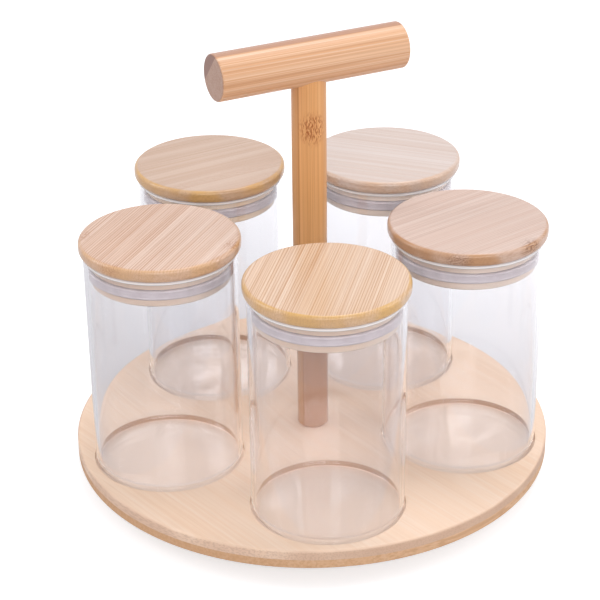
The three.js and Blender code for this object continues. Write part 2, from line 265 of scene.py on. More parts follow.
def linear(code):
    """Linear colour of an sRGB hex value, by the sRGB curve."""
    value = np.array([int(code[i:i + 2], 16) for i in (1, 3, 5)]) / 255
    curve = np.where(value <= 0.04045, value / 12.92, ((value + 0.055) / 1.055) ** 2.4)
    return (*curve.tolist(), 1.0)


def add(tree, kind, inputs=None, out=0, **settings):
    """Adds a node with its settings, sets or links its inputs, and gives the output that is asked for."""
    made = tree.nodes.new("ShaderNode" + kind)
    for key, value in settings.items():
        setattr(made, key, value)
    for key, value in (inputs or {}).items():
        if isinstance(value, bpy.types.NodeSocket):
            tree.links.new(value, made.inputs[key])
        else:
            made.inputs[key].default_value = value
    return made.outputs[out] if made.outputs else made


def new_material(name):
    """An empty node material and its tree."""
    material = bpy.data.materials.new(name)
    material.use_nodes = True
    material.node_tree.nodes.clear()
    return material, material.node_tree


# Bamboo
# Where a pattern turns into a mark: none at input 1, full at input 2, with a least share at input 3 in places
BROAD_RANGE = {1: 0.36, 2: 0.64}
LINE_RANGE = {1: 0.5, 2: 0.6}
BRIGHT_RANGE = {1: 0.48, 2: 0.34}
DASH_RANGE = {1: 0.56, 2: 0.7}
ROW_RANGE = {1: 0.55, 2: 0.95}
ROW_STRENGTH = {1: 0.3, 2: 0.65, 3: 0.4}
PATCH_RANGE = {1: 0.35, 2: 0.6, 3: 0.35}
DOT_RANGE = {1: 0.45, 2: 0.65}
FLECK_RANGE = {1: 0.46, 2: 0.58}
KNUCKLE_RANGE = {1: 1.0, 2: 0.3}  # shares of a knuckle's half sizes
END_RANGE = {1: 0.55, 2: 0.95}  # cosines between the surface's normal and the grain
GRAIN_RANGE = {1: 0.3, 2: 0.7}

# Strips and rows of fibre bundles: lengths in millimetres, shares from 0 to 1
STRIP_RANDOMNESS = 0.75
STRIP_JUMP = 400.0
STRIP_LEAST_MARKS = 0.45
WAVE_LENGTH = math.pi / 10  # of a wave texture at scale 1
ROW_DRAWN_OUT = (0.01, 1.0, 1.0)
ROW_WANDER = {"Distortion": 5.5, "Detail": 2.0, "Detail Scale": 1.2}
ROW_FADE = 1.0
ROW_LEAST = 0.3

# Cut and grown marks: lengths in millimetres, shares from 0 to 1
SEATS_REACH = 121.0
SEATS_REACH_FADE = 0.5
SEAT_WALL_START = 0.3
SEAT_FLOOR_MARGIN = 0.4
SEAT_FADE = 0.3
DOT_FADE = 0.25
PLUG_LIGHT_FADE = 0.5
PLUG_LIGHT_SHARE = 0.85
GLUE_FADE = 0.2
FLECK_SIZE = (2.0, 0.5)
ROUGHNESS_SPREAD = 0.06
FIBRE_RELIEF = 0.1


def streaks(tree, shifted, length, width, detail):
    """Noise drawn out along the grain: coordinates over a length along it and a width across it."""
    scale = (1 / length, 1 / width, 1 / width)
    spread = add(tree, "VectorMath", {0: shifted, 1: scale}, operation="MULTIPLY")
    return add(tree, "TexNoise", {"Vector": spread, "Scale": 1.0, "Detail": detail}, out="Fac")


def strip_grain(tree, local, look):
    """Layers of plain grain, with the coordinates shifted strip by strip and the fibres' noise.

    Strips have random widths and tones, with glue lines between them. Fibres run on along the grain, with a
    pattern of its own in each strip. Rows of fibre bundles lie closer or wider by chance, come and go with
    the broad streaks and fade at a depth.
    """
    across = add(tree, "SeparateXYZ", {0: local}, out="Y")
    in_strips = {0: across, 1: 1 / look["strip"], 2: look["shift"]}
    strip_place = add(tree, "Math", in_strips, operation="MULTIPLY_ADD")
    strip_inputs = {"W": strip_place, "Scale": 1.0, "Randomness": STRIP_RANDOMNESS}
    strips = add(tree, "TexVoronoi", strip_inputs, out="Color", voronoi_dimensions="1D")
    edge = add(
        tree, "TexVoronoi", strip_inputs, out="Distance", voronoi_dimensions="1D", feature="DISTANCE_TO_EDGE"
    )
    tones = add(tree, "SeparateColor", {0: strips}).node.outputs
    glue_width = look["glue_width"] / look["strip"]
    glue = add(tree, "MapRange", {0: edge, 1: glue_width, 2: 0.0, 4: look["glue_share"]}, **SMOOTH)

    own_start = add(tree, "VectorMath", {0: strips, "Scale": STRIP_JUMP}, operation="SCALE")
    shifted = add(tree, "VectorMath", {0: local, 1: own_start})
    broad = streaks(tree, shifted, *look["broad"], detail=1.0)
    fibre = streaks(tree, shifted, *look["fibre"], detail=2.0)
    dash = streaks(tree, shifted, *look["dash"], detail=0.0)
    warmth = add(tree, "MapRange", {0: broad, **BROAD_RANGE, 4: look["broad_share"]}, **SMOOTH)
    tone = add(tree, "Math", {0: tones[0], 1: look["strip_share"], 2: warmth}, operation="MULTIPLY_ADD")
    own_share = add(tree, "MapRange", {0: tones[1], 3: STRIP_LEAST_MARKS})
    lines = add(tree, "MapRange", {0: fibre, **LINE_RANGE, 4: look["fibre_share"]}, **SMOOTH)
    lines = add(tree, "Math", {0: lines, 1: own_share}, operation="MULTIPLY")
    bright = add(tree, "MapRange", {0: fibre, **BRIGHT_RANGE, 4: look["bright_share"]}, **SMOOTH)
    dashes = add(tree, "MapRange", {0: dash, **DASH_RANGE, 4: look["dash_share"]}, **SMOOTH)
    dashes = add(tree, "Math", {0: dashes, 1: tones[1]}, operation="MULTIPLY")
    layers = [
        (tone, look["mid"]),
        (lines, look["dark"]),
        (bright, look["bright"]),
        (dashes, look["dark"]),
        (glue, look["dark"]),
    ]

    if "rows" in look:
        spacing, share, depth = look["rows"]
        drawn = add(tree, "VectorMath", {0: shifted, 1: ROW_DRAWN_OUT}, operation="MULTIPLY")
        wave = {"Vector": drawn, "Scale": WAVE_LENGTH / spacing, **ROW_WANDER}
        rows = add(tree, "TexWave", wave, out="Fac", bands_direction="Y")
        rows = add(tree, "MapRange", {0: rows, **ROW_RANGE, 4: share}, **SMOOTH)
        strength = add(tree, "MapRange", {0: broad, **ROW_STRENGTH}, **SMOOTH)
        strength = add(tree, "Math", {0: strength, 1: own_share}, operation="MULTIPLY")
        height = add(tree, "SeparateXYZ", {0: local}, out="Z")
        fade = add(tree, "MapRange", {0: height, 1: -depth, 2: ROW_FADE - depth, 3: ROW_LEAST}, **SMOOTH)
        strength = add(tree, "Math", {0: strength, 1: fade}, operation="MULTIPLY")
        layers.append((add(tree, "Math", {0: rows, 1: strength}, operation="MULTIPLY"), look["dark"]))
    return layers, shifted, fibre


def cut_marks(tree, local, look, shifted):
    """Layers where board and lids were cut and turned. Pieces without a turned rim have none."""
    if "rim" not in look:
        return []
    layers = []
    height = add(tree, "SeparateXYZ", {0: local}, out="Z")
    flat = add(tree, "VectorMath", {0: local, 1: (1, 1, 0)}, operation="MULTIPLY")
    reach = add(tree, "VectorMath", {0: flat}, out="Value", operation="LENGTH")

    # Seats cut into the board: darker walls, and a paler floor that is painted light under the glass
    if "seat" in look:
        wall_colour, painted_light_floor_colour = look["seat"]
        floor_start = SEAT_DEPTH - SEAT_FLOOR_MARGIN
        inside_range = {1: SEATS_REACH, 2: SEATS_REACH - SEATS_REACH_FADE}
        inside = add(tree, "MapRange", {0: reach, **inside_range}, **SMOOTH)
        for level, colour in ((SEAT_WALL_START, wall_colour), (floor_start, painted_light_floor_colour)):
            below = add(tree, "MapRange", {0: height, 1: SEAT_FADE - level, 2: -level}, **SMOOTH)
            layers.append((add(tree, "Math", {0: below, 1: inside}, operation="MULTIPLY"), colour))

    # Turned edge, golden in patches where the oil gathers, and dotted by the cut ends of the fibre bundles
    start, end, share, rim_colour = look["rim"]
    patch_scale = 1 / look["rim_patch"]
    patch = add(tree, "TexNoise", {"Vector": local, "Scale": patch_scale, "Detail": 1.0}, out="Fac")
    patch = add(tree, "MapRange", {0: patch, **PATCH_RANGE}, **SMOOTH)
    oil = add(tree, "MapRange", {0: reach, 1: start, 2: end, 4: share}, **SMOOTH)
    layers.append((add(tree, "Math", {0: oil, 1: patch}, operation="MULTIPLY"), rim_colour))
    length, width, share, dot_colour = look["rim_dots"]
    dots = streaks(tree, shifted, length, width, detail=0.0)
    dots = add(tree, "MapRange", {0: dots, **DOT_RANGE, 4: share}, **SMOOTH)
    upright = add(tree, "MapRange", {0: reach, 1: end, 2: end + DOT_FADE}, **SMOOTH)
    layers.append((add(tree, "Math", {0: dots, 1: upright}, operation="MULTIPLY"), dot_colour))

    # Plug below a lid, paler: partly its own unoiled wood, partly painted light where the lid's shade falls
    # on it
    if "plug" in look:
        full = -LID_THICKNESS - PLUG_LIGHT_FADE
        below = add(tree, "MapRange", {0: height, 1: -LID_THICKNESS, 2: full, 4: PLUG_LIGHT_SHARE}, **SMOOTH)
        layers.append((below, look["plug"]))
    return layers


def grown_marks(tree, local, look, shifted):
    """Layers of painted shade at the foot, a second strip and knuckles, with the share of that second strip.
    """
    layers = []
    past = None

    # Painted shade: the foot is darker from the start of the grain, where the jars and lids shade it
    if "foot" in look:
        start, end, share, foot_shade_colour = look["foot"]
        along = add(tree, "SeparateXYZ", {0: local}, out="X")
        foot = add(tree, "MapRange", {0: along, 1: start, 2: end, 3: share, 4: 0.0}, **SMOOTH)
        layers.append((foot, foot_shade_colour))

    # A strip of another tone past a glue line along the grain
    if "second_strip" in look:
        direction, start, share, strip_colour = look["second_strip"]
        depth = add(tree, "VectorMath", {0: local, 1: direction}, out="Value", operation="DOT_PRODUCT")
        line_range = {1: start - GLUE_FADE, 2: start + GLUE_FADE}
        past = add(tree, "MapRange", {0: depth, **line_range, 4: share}, **SMOOTH)
        on_line = add(tree, "Math", {0: depth, 1: start, 2: look["glue_width"]}, operation="COMPARE")
        line = add(tree, "Math", {0: on_line, 1: look["glue_share"]}, operation="MULTIPLY")
        layers += [(past, strip_colour), (line, look["dark"])]

    # Knuckles: flecks inside soft ovals, each given by its middle and half sizes
    for middle, half_sizes in look.get("knuckles", ()):
        offset = add(tree, "VectorMath", {0: local, 1: middle}, operation="SUBTRACT")
        oval = add(tree, "VectorMath", {0: offset, 1: half_sizes}, operation="DIVIDE")
        away = add(tree, "VectorMath", {0: oval}, out="Value", operation="LENGTH")
        inside = add(tree, "MapRange", {0: away, **KNUCKLE_RANGE, 4: look["knuckle_share"]}, **SMOOTH)
        fleck = streaks(tree, shifted, *FLECK_SIZE, detail=1.0)
        fleck = add(tree, "MapRange", {0: fleck, **FLECK_RANGE}, **SMOOTH)
        layers.append((add(tree, "Math", {0: fleck, 1: inside}, operation="MULTIPLY"), look["knuckle"]))
    return layers, past


def bamboo(name, grain, look):
    """Bamboo strips glued edge to edge, planed or turned, then sanded and oiled: silky, with long fibres, a
    tone of its own in each strip, thin glue lines, short dark bundle dashes, darker end grain and flecked
    knuckles.

    grain is a point of the piece in millimetres and the turn that takes X to the grain. Coordinates are then
    in millimetres: along the grain, across the strips, and through their thickness.
    """
    centre, turn = grain
    material, tree = new_material(name)
    place = add(tree, "TexCoord", out="Object")
    local = add(
        tree,
        "Mapping",
        {"Vector": place, "Location": np.array(centre) * MM, "Rotation": turn, "Scale": (MM, MM, MM)},
        vector_type="TEXTURE",
    )
    layers, shifted, fibre = strip_grain(tree, local, look)
    layers += cut_marks(tree, local, look, shifted)
    grown, past = grown_marks(tree, local, look, shifted)
    layers += grown

    # End grain, where the surface faces along the grain
    facing = add(
        tree,
        "VectorRotate",
        {"Vector": place.node.outputs["Normal"], "Rotation": turn},
        rotation_type="EULER_XYZ",
        invert=True,
    )
    facing = add(tree, "SeparateXYZ", {0: facing}, out="X")
    facing = add(tree, "Math", {0: facing}, operation="ABSOLUTE")
    ends = add(tree, "MapRange", {0: facing, **END_RANGE, 4: look["end_share"]}, **SMOOTH)
    layers.append((ends, look["end"]))
    if "end_strip" in look:
        layers.append((add(tree, "Math", {0: ends, 1: past}, operation="MULTIPLY"), look["end_strip"]))

    colour = linear(look["pale"])
    for share, layer_colour in layers:
        colour = add(tree, "Mix", {0: share, 6: colour, 7: linear(layer_colour)}, **COLOURS)
    spread = {3: look["roughness"] - ROUGHNESS_SPREAD, 4: look["roughness"] + ROUGHNESS_SPREAD}
    roughness = add(tree, "MapRange", {0: fibre, **GRAIN_RANGE, **spread}, **SMOOTH)
    bump = add(tree, "Bump", {"Height": fibre, "Strength": 0.25, "Distance": FIBRE_RELIEF * MM})
    shader = add(
        tree,
        "BsdfPrincipled",
        {"Base Color": colour, "Roughness": roughness, "Normal": bump, "IOR": 1.5, "Specular IOR Level": 0.4,
         "Coat Weight": look["lacquer"], "Coat Roughness": 0.14},
    )
    add(tree, "OutputMaterial", {"Surface": shader})
    return material


# Glass: lengths in millimetres, shares from 0 to 1
GLASS_WALL_TINT = "#fbfbfc"
GLASS_SHADOW_TINT = "#f6f6f8"
GLASS_FLOOR_TINT = "#fcfcfc"
# The top of the rim is painted matt white, a painted highlight: its colour, the depths below the top and its
# share
RIM_HIGHLIGHT_COLOUR = "#f6f4f6"
RIM_HIGHLIGHT_START = 1.3  # below the top
RIM_HIGHLIGHT_FULL = 0.9  # below the top
RIM_HIGHLIGHT_SHARE = 0.85
HEEL_FADE = 2.0
LEAST_MIRROR = 0.04
MIRROR_POWER = 5.0
FLOOR_WAVE = 32.0
FLOOR_WAVE_DEPTH = 1.5


def clear_glass(low, high):
    """Clear borosilicate glass, drawn: a smooth wall that bends light and is bright at its edges, and a rim
    painted matt white, a painted highlight that stands in for the light the rounded glass rim catches. The
    floor and heel, and the whole jar for light from lamps, are a thin sheet that light crosses straight, with
    a mirror share of least + (1 - least) * (1 - cosine) ** 5 and the shallow waves of pressed glass, which
    break its glints."""
    material, tree = new_material("borosilicate_glass")
    place = add(tree, "TexCoord", out="Object")
    height = add(tree, "SeparateXYZ", {0: place}, out="Z")
    heel_end = low + GLASS_HEEL_ROUND
    heel_range = {1: (heel_end + HEEL_FADE) * MM, 2: heel_end * MM}
    heel = add(tree, "MapRange", {0: height, **heel_range}, **SMOOTH)
    rim_range = {1: (high - RIM_HIGHLIGHT_START) * MM, 2: (high - RIM_HIGHLIGHT_FULL) * MM}
    rim = add(tree, "MapRange", {0: height, **rim_range, 4: RIM_HIGHLIGHT_SHARE}, **SMOOTH)
    wall = add(
        tree,
        "BsdfPrincipled",
        {"Base Color": linear(GLASS_WALL_TINT), "Roughness": 0.0, "IOR": 1.47, "Transmission Weight": 1.0},
    )
    slant = add(tree, "LayerWeight", {"Blend": 0.5}, out="Facing")
    slant = add(tree, "Math", {0: slant, 1: MIRROR_POWER}, operation="POWER")
    mirror_share = add(tree, "MapRange", {0: slant, 3: LEAST_MIRROR})
    tint = add(tree, "Mix", {0: heel, 6: linear(GLASS_SHADOW_TINT), 7: linear(GLASS_FLOOR_TINT)}, **COLOURS)
    clear = add(tree, "BsdfTransparent", {"Color": tint})
    waves = add(tree, "TexNoise", {"Vector": place, "Scale": 1 / (FLOOR_WAVE * MM), "Detail": 0.0}, out="Fac")
    moulded = add(tree, "Bump", {"Height": waves, "Strength": 1.0, "Distance": FLOOR_WAVE_DEPTH * MM})
    mirror = add(
        tree,
        "BsdfPrincipled",
        {"Base Color": linear(WHITE), "Metallic": 1.0, "Roughness": 0.06, "Normal": moulded},
    )
    sheet = add(tree, "MixShader", {0: mirror_share, 1: clear, 2: mirror})
    shadow = add(tree, "LightPath", out="Is Shadow Ray")
    straight = add(tree, "Math", {0: heel, 1: shadow}, operation="MAXIMUM")
    mixed = add(tree, "MixShader", {0: straight, 1: wall, 2: sheet})
    # Painted highlight: matt white over the top of the rim, in place of the light the glass rim catches
    painted_highlight = add(tree, "BsdfDiffuse", {"Color": linear(RIM_HIGHLIGHT_COLOUR)})
    mixed = add(tree, "MixShader", {0: rim, 1: mixed, 2: painted_highlight})
    add(tree, "OutputMaterial", {"Surface": mixed})
    return material


# Moulded, plated and turned finishes
LATHE_RELIEF = 0.03


def toned_finish(material, tree, pattern, finish, relief, sockets):
    """Two close tones, a roughness and a relief that follow one pattern."""
    colours, roughness = finish
    tone = add(tree, "MapRange", {0: pattern, **GRAIN_RANGE}, **SMOOTH)
    colour = add(tree, "Mix", {0: tone, 6: linear(colours[0]), 7: linear(colours[1])}, **COLOURS)
    rough = add(tree, "MapRange", {0: pattern, **GRAIN_RANGE, 3: roughness[0], 4: roughness[1]}, **SMOOTH)
    bump = add(tree, "Bump", {"Height": pattern, "Strength": 0.3, "Distance": relief * MM})
    inputs = {"Base Color": colour, "Roughness": rough, "Normal": bump, **sockets}
    add(tree, "OutputMaterial", {"Surface": add(tree, "BsdfPrincipled", inputs)})
    return material


def plain_finish(name, finish, grain, relief, **sockets):
    """A moulded or plated finish: tones and roughness vary over a fine random grain, in millimetres."""
    material, tree = new_material(name)
    place = add(tree, "TexCoord", out="Object")
    pattern = add(tree, "TexNoise", {"Vector": place, "Scale": 1 / (grain * MM), "Detail": 2.0}, out="Fac")
    return toned_finish(material, tree, pattern, finish, relief, sockets)


def turned_metal(name, finish, spacing):
    """Metal turned on a lathe: fine rings about the upright axis, a spacing in millimetres apart, that spread
    the shine."""
    material, tree = new_material(name)
    place = add(tree, "TexCoord", out="Object")
    flat = add(tree, "VectorMath", {0: place, 1: (1, 1, 0)}, operation="MULTIPLY")
    reach = add(tree, "VectorMath", {0: flat}, out="Value", operation="LENGTH")
    height = add(tree, "SeparateXYZ", {0: place}, out="Z")
    way = add(tree, "Math", {0: reach, 1: height})
    way = add(tree, "Math", {0: way, 1: spacing * MM}, operation="DIVIDE")
    rings = {"W": way, "Scale": 1.0, "Detail": 1.0}
    pattern = add(tree, "TexNoise", rings, out="Fac", noise_dimensions="1D")
    return toned_finish(material, tree, pattern, finish, LATHE_RELIEF, {"Metallic": 1.0})


# Looks of the bamboo pieces: sizes in millimetres, shares from 0 to 1
# broad, fibre and dash are a streak's length and width, wider than real fibres where those would not show
# rows are a spacing, a share and the depth at which they fade
# rim is the radius where it starts, the radius where it is full, a share and a colour
# rim_dots are a length, a width, a share and a colour; seat is a wall's colour and a floor's painted light
# foot is painted shade: the height up to which it is full, the height where it ends, a share and a colour
# second_strip is a direction, a distance of its glue line from the grain's axis, a share and a colour
# knuckles are a middle and half sizes each, along the grain, across it and through the thickness
BAMBOO = {
    "strip": 16.0, "shift": 0.0, "strip_share": 0.35, "glue_width": 0.3, "glue_share": 0.15,
    "broad": (260.0, 3.0), "broad_share": 0.35, "fibre": (220.0, 0.4), "fibre_share": 0.35,
    "dash": (26.0, 0.45), "dash_share": 0.35, "bright_share": 0.3,
    "pale": "#e8caaf", "mid": "#dfb995", "dark": "#b98a62", "bright": "#f3dfcb",
    "end": "#c99f7a", "end_share": 0.3, "knuckle": "#a8683a", "knuckle_share": 0.6,
    "rim_patch": 18.0, "rim_dots": (4.0, 0.7, 0.2, "#a3744d"), "roughness": 0.32, "lacquer": 0.0,
}
BOARD_LOOK = {
    **BAMBOO, "strip": 17.0, "shift": 0.3, "glue_width": 0.5, "glue_share": 0.12,
    "broad": (200.0, 9.0), "broad_share": 0.3, "fibre": (150.0, 1.6), "fibre_share": 0.1,
    "dash": (14.0, 0.8), "dash_share": 0.12, "bright_share": 0.25,
    "pale": "#f9ddc6", "mid": "#f4d0b2", "dark": "#d3a683", "bright": "#fbe6d6",
    "end": "#c9a489", "end_share": 0.5, "roughness": 0.5, "rim": (123.7, 124.7, 0.85, "#dfbca4"),
    # The seats' floor colour is painted light: paler than the board top, as if lit through the glass
    "rim_patch": 30.0, "rim_dots": (4.0, 0.7, 0.24, "#a98266"), "seat": ("#c79f80", "#fce4d1"),
}
LOWER_LOOK = {
    **BAMBOO, "strip": 14.0, "fibre": (150.0, 1.3), "dash_share": 0.25, "end": "#c69469", "end_share": 0.4,
    "pale": "#e2b892", "mid": "#d8a97f", "dark": "#b4825a", "bright": "#e8c5a5", "roughness": 0.5,
}
POST_LOOK = {
    **BAMBOO, "strip": 60.0, "shift": 0.5, "glue_share": 0.5, "broad": (260.0, 2.4), "broad_share": 0.4,
    "fibre": (180.0, 0.5), "fibre_share": 0.4,
    "pale": "#ecb075", "mid": "#dd9d5e", "dark": "#a6662e", "bright": "#ebbd88",
    "end": "#b98350", "end_share": 0.6, "roughness": 0.38, "lacquer": 0.1,
    # The post's foot is painted shade: darker low down, where the jars and lids around it shade it
    "second_strip": ((0.0, -1.0, 0.0), 5.2, 0.6, "#c9925f"), "foot": (78.0, 112.0, 0.85, "#b88b71"),
    "knuckle": "#a3551f", "knuckle_share": 0.9, "knuckles": [((170.0, 2.0, -8.0), (11.0, 9.0, 8.0))],
}
HANDLE_LOOK = {
    **BAMBOO, "strip": 60.0, "shift": 0.5, "broad": (240.0, 3.0), "broad_share": 0.6,
    "fibre": (200.0, 0.8), "fibre_share": 0.4, "dash_share": 0.3, "bright_share": 0.45,
    "pale": "#ecc19e", "mid": "#daa276", "dark": "#aa7045", "bright": "#f3d6bc",
    "end": "#997a70", "end_share": 0.7, "end_strip": "#7d5141", "roughness": 0.34, "lacquer": 0.2,
    "rows": (0.7, 0.34, 50.0), "second_strip": ((0.0, 0.757, 0.652), 5.0, 0.8, "#b4836a"),
}
# A lid's plug colour is paler: partly unoiled wood, partly painted light where the lid shades the plug
LID_LOOK = {**BAMBOO, "lacquer": 0.4, "rows": (1.3, 0.9, 2.0), "plug": "#f0dccb"}
LID_STRIP_SHIFT = 0.37

# What each lid has of its own, with its grain's angle in degrees from X
LID_LOOKS = [
    {"angle": 78.0, "pale": "#e4c7ae", "mid": "#dab28c", "dark": "#b27d54",
     "rim": (38.2, 39.0, 0.85, "#d8a95e")},
    {"angle": 38.0, "pale": "#dcc3b6", "mid": "#d2b1a0", "dark": "#b08b78", "bright": "#e7d6cc",
     "rows": (1.3, 0.5, 2.0), "rim": (38.4, 39.4, 0.9, "#bd8a5c"), "end": "#bb8f6c",
     "knuckle": "#7d4d2c", "knuckle_share": 0.85,
     "knuckles": [((-29.5, -26.0, -4.0), (9.0, 10.0, 5.0)), ((5.6, -38.0, -3.0), (10.0, 7.0, 5.0))]},
    # The two back lids' plugs are paler still, with more painted light, as the jars in front shade them too
    {"angle": -20.0, "pale": "#dbccc5", "mid": "#d3bfb4", "dark": "#be9d8b", "bright": "#e2d8d3",
     "strip": 18.0, "broad_share": 0.7, "dash_share": 0.1, "rows": (1.6, 0.2, 2.0),
     "rim": (38.0, 39.4, 0.6, "#d9ae88"), "plug": "#fbe6d4"},
    {"angle": 31.0, "pale": "#cfb39f", "mid": "#c5a48c", "dark": "#a57d5d", "bright": "#dac3b3",
     "strip": 34.0, "shift": 0.5, "broad": (200.0, 5.0), "broad_share": 0.9, "dash_share": 0.1,
     "rows": (1.6, 0.3, 2.0), "rim": (38.0, 39.2, 0.8, "#d8a860"), "plug": "#fbe2c6"},
    {"angle": 68.0, "pale": "#e2c4b1", "mid": "#d6ae93", "dark": "#b07c5a", "bright": "#eed8ca",
     "rim": (38.4, 39.4, 0.8, "#d9ab7c"),
     "knuckles": [((-14.0, 36.0, -1.0), (8.0, 6.0, 5.0)), ((3.0, -37.0, -1.0), (9.0, 5.0, 5.0)),
                  ((-39.0, 8.0, -3.0), (5.0, 9.0, 5.0))]},
]
BOARD_GRAIN_ANGLE = -50.0
LOWER_GRAIN_ANGLE = BOARD_GRAIN_ANGLE + 90.0

# Other finishes: two tones and two roughnesses, then the pattern's size and the relief in millimetres
# Silicone is milky and satin, zinc plating and turned aluminium shine, nylon is waxy and rubber is dull
# Their patterns are drawn coarser than the real ones, which would not show
glass = clear_glass(*node_place("jar_1_glass")[1:])
silicone = plain_finish("silicone_rubber", (("#cdc1c3", "#d6cbcd"), (0.35, 0.45)), 6.0, 0.02)
aluminium = turned_metal("turned_aluminium", (("#c6c9cc", "#d6d8da"), (0.28, 0.4)), 0.25)
steel = plain_finish("zinc_plated_steel", (("#b4b7bb", "#c6c9cc"), (0.2, 0.32)), 1.5, 0.005, Metallic=1.0)
nylon = plain_finish("natural_nylon", (("#e2dfd6", "#eceae3"), (0.5, 0.6)), 0.8, 0.01)
rubber = plain_finish("black_rubber", (("#1e1e1f", "#2b2b2c"), (0.75, 0.9)), 0.4, 0.02)

# Levels and centres from the frame
board_low, ply_line = node_place("board_lower_ply")[1:]
board_top = node_place("board_upper_ply")[2]
seat_level = board_top - SEAT_DEPTH
jar_places = [node_place(f"jar_{k + 1}_glass") for k in range(JAR_COUNT)]
jar_circle = np.linalg.norm(jar_places[0][0])
first_jar_angle = math.atan2(jar_places[0][0][1], jar_places[0][0][0])


def flat_grain(centre, level, degrees):
    """Grain that lies flat, turned from X by an angle."""
    return (centre[0], centre[1], level), (0.0, 0.0, math.radians(degrees))


# Board
def make_board():
    """Upper ply: flat top with a round seat in each fifth, a rounded edge and a flat underside. Lower ply: a
    turned disc with a rounded lower edge and the countersunk hole of the post's screw."""
    upper_wood = bamboo("bamboo_board_oiled", flat_grain((0, 0), board_top, BOARD_GRAIN_ANGLE), BOARD_LOOK)
    lower_wood = bamboo("bamboo_lower_ply_oiled", flat_grain((0, 0), ply_line, LOWER_GRAIN_ANGLE), LOWER_LOOK)
    flat_radius = BOARD_RADIUS - BOARD_EDGE_ROUND
    edge = SEAT_EDGE_ROUND
    seat = profile(
        arc(SEAT_RADIUS + edge, board_top - edge, edge, 90, 180),
        arc(SEAT_RADIUS - edge, seat_level + edge, edge, 0, -90),
        (0.0, seat_level),
    )
    walls = profile(
        arc(flat_radius, board_top - BOARD_EDGE_ROUND, BOARD_EDGE_ROUND, 90, 0),
        (BOARD_RADIUS, ply_line),
        (0.0, ply_line),
    )
    seats = (JAR_COUNT, first_jar_angle, jar_circle, seat)
    window = (math.pi / JAR_COUNT, 0.0, flat_radius)
    upper = piece("board_upper_ply_bamboo", pierced(board_top, seats, window, walls, BOARD_STEPS))
    dress(upper, upper_wood, "turntable", "board_upper_ply")
    head = POST_SCREW_HEAD + FIT_GAP
    shank = POST_SCREW_RADIUS + FIT_GAP
    disc = profile(
        (shank, ply_line),
        (shank, board_low + head - shank),
        (head, board_low),
        arc(flat_radius, board_low + BOARD_EDGE_ROUND, BOARD_EDGE_ROUND, -90, 0),
        (BOARD_RADIUS, ply_line),
        (shank, ply_line),
    )
    lower = piece("board_lower_ply_bamboo", [turned(disc, sides=BOARD_SIDES)])
    dress(lower, lower_wood, "turntable", "board_lower_ply")


# Post and handle
def make_post():
    """Post: a turned dowel with a chamfered foot. Its grain runs up, and its strips lie beside each other
    along X."""
    low, high = node_place("post")[1:]
    outline = profile(
        (0.0, low),
        (POST_RADIUS - POST_CHAMFER, low),
        (POST_RADIUS, low + POST_CHAMFER),
        (POST_RADIUS, high),
        (0.0, high),
    )
    upright_grain = ((0.0, 0.0, low), (-math.pi / 2, -math.pi / 2, 0.0))
    wood = bamboo("bamboo_post_oiled", upright_grain, POST_LOOK)
    made = piece("post_dowel", [turned(outline, sides=ROD_SIDES)])
    dress(made, wood, "turntable", "post")


def make_handle():
    """Handle: a turned dowel with rounded ends, laid along its axis: (height, radius * cos, radius * sin)."""
    centre, low, high = node_place("handle_bar")
    level = (low + high) / 2
    half = HANDLE_LENGTH / 2
    rim = HANDLE_RADIUS - HANDLE_END_ROUND
    outline = profile(
        (0.0, -half),
        arc(rim, HANDLE_END_ROUND - half, HANDLE_END_ROUND, -90, 0),
        arc(rim, half - HANDLE_END_ROUND, HANDLE_END_ROUND, 0, 90),
        (0.0, half),
    )
    bar = turned(outline, sides=ROD_SIDES)[..., [2, 0, 1]]
    turn = math.radians(HANDLE_ANGLE)
    ahead = np.array([math.cos(turn), math.sin(turn), 0.0])
    aside = np.array([-math.sin(turn), math.cos(turn), 0.0])
    upwards = np.array([0.0, 0.0, 1.0])
    bar = bar @ np.array([ahead, aside, upwards]) + np.array([centre[0], centre[1], level])
    wood = bamboo("bamboo_handle_oiled", flat_grain(centre, level, HANDLE_ANGLE), HANDLE_LOOK)
    made = piece("handle_bar_dowel", [bar])
    dress(made, wood, "turntable", "handle_bar")


# Jars and lids
def make_jar(number):
    """Glass: an upright wall between a round heel and a rounded rim, one closed surface inside and out."""
    centre, low, high = jar_places[number - 1]
    inner_heel = GLASS_HEEL_ROUND - GLASS_WALL
    inside = GLASS_RADIUS - GLASS_WALL
    rim = GLASS_WALL / 2
    outline = profile(
        (0.0, low),
        arc(GLASS_RADIUS - GLASS_HEEL_ROUND, low + GLASS_HEEL_ROUND, GLASS_HEEL_ROUND, -90, 0, HEEL_STEPS),
        arc(GLASS_RADIUS - rim, high - rim, rim, 0, 180, 2 * ARC_STEPS),
        arc(inside - inner_heel, low + GLASS_FLOOR + inner_heel, inner_heel, 0, -90, HEEL_STEPS),
        (0.0, low + GLASS_FLOOR),
    )
    made = piece(f"jar_{number}_clear_glass", [turned(outline, centre)])
    dress(made, glass, f"jar_{number}", f"jar_{number}_glass")


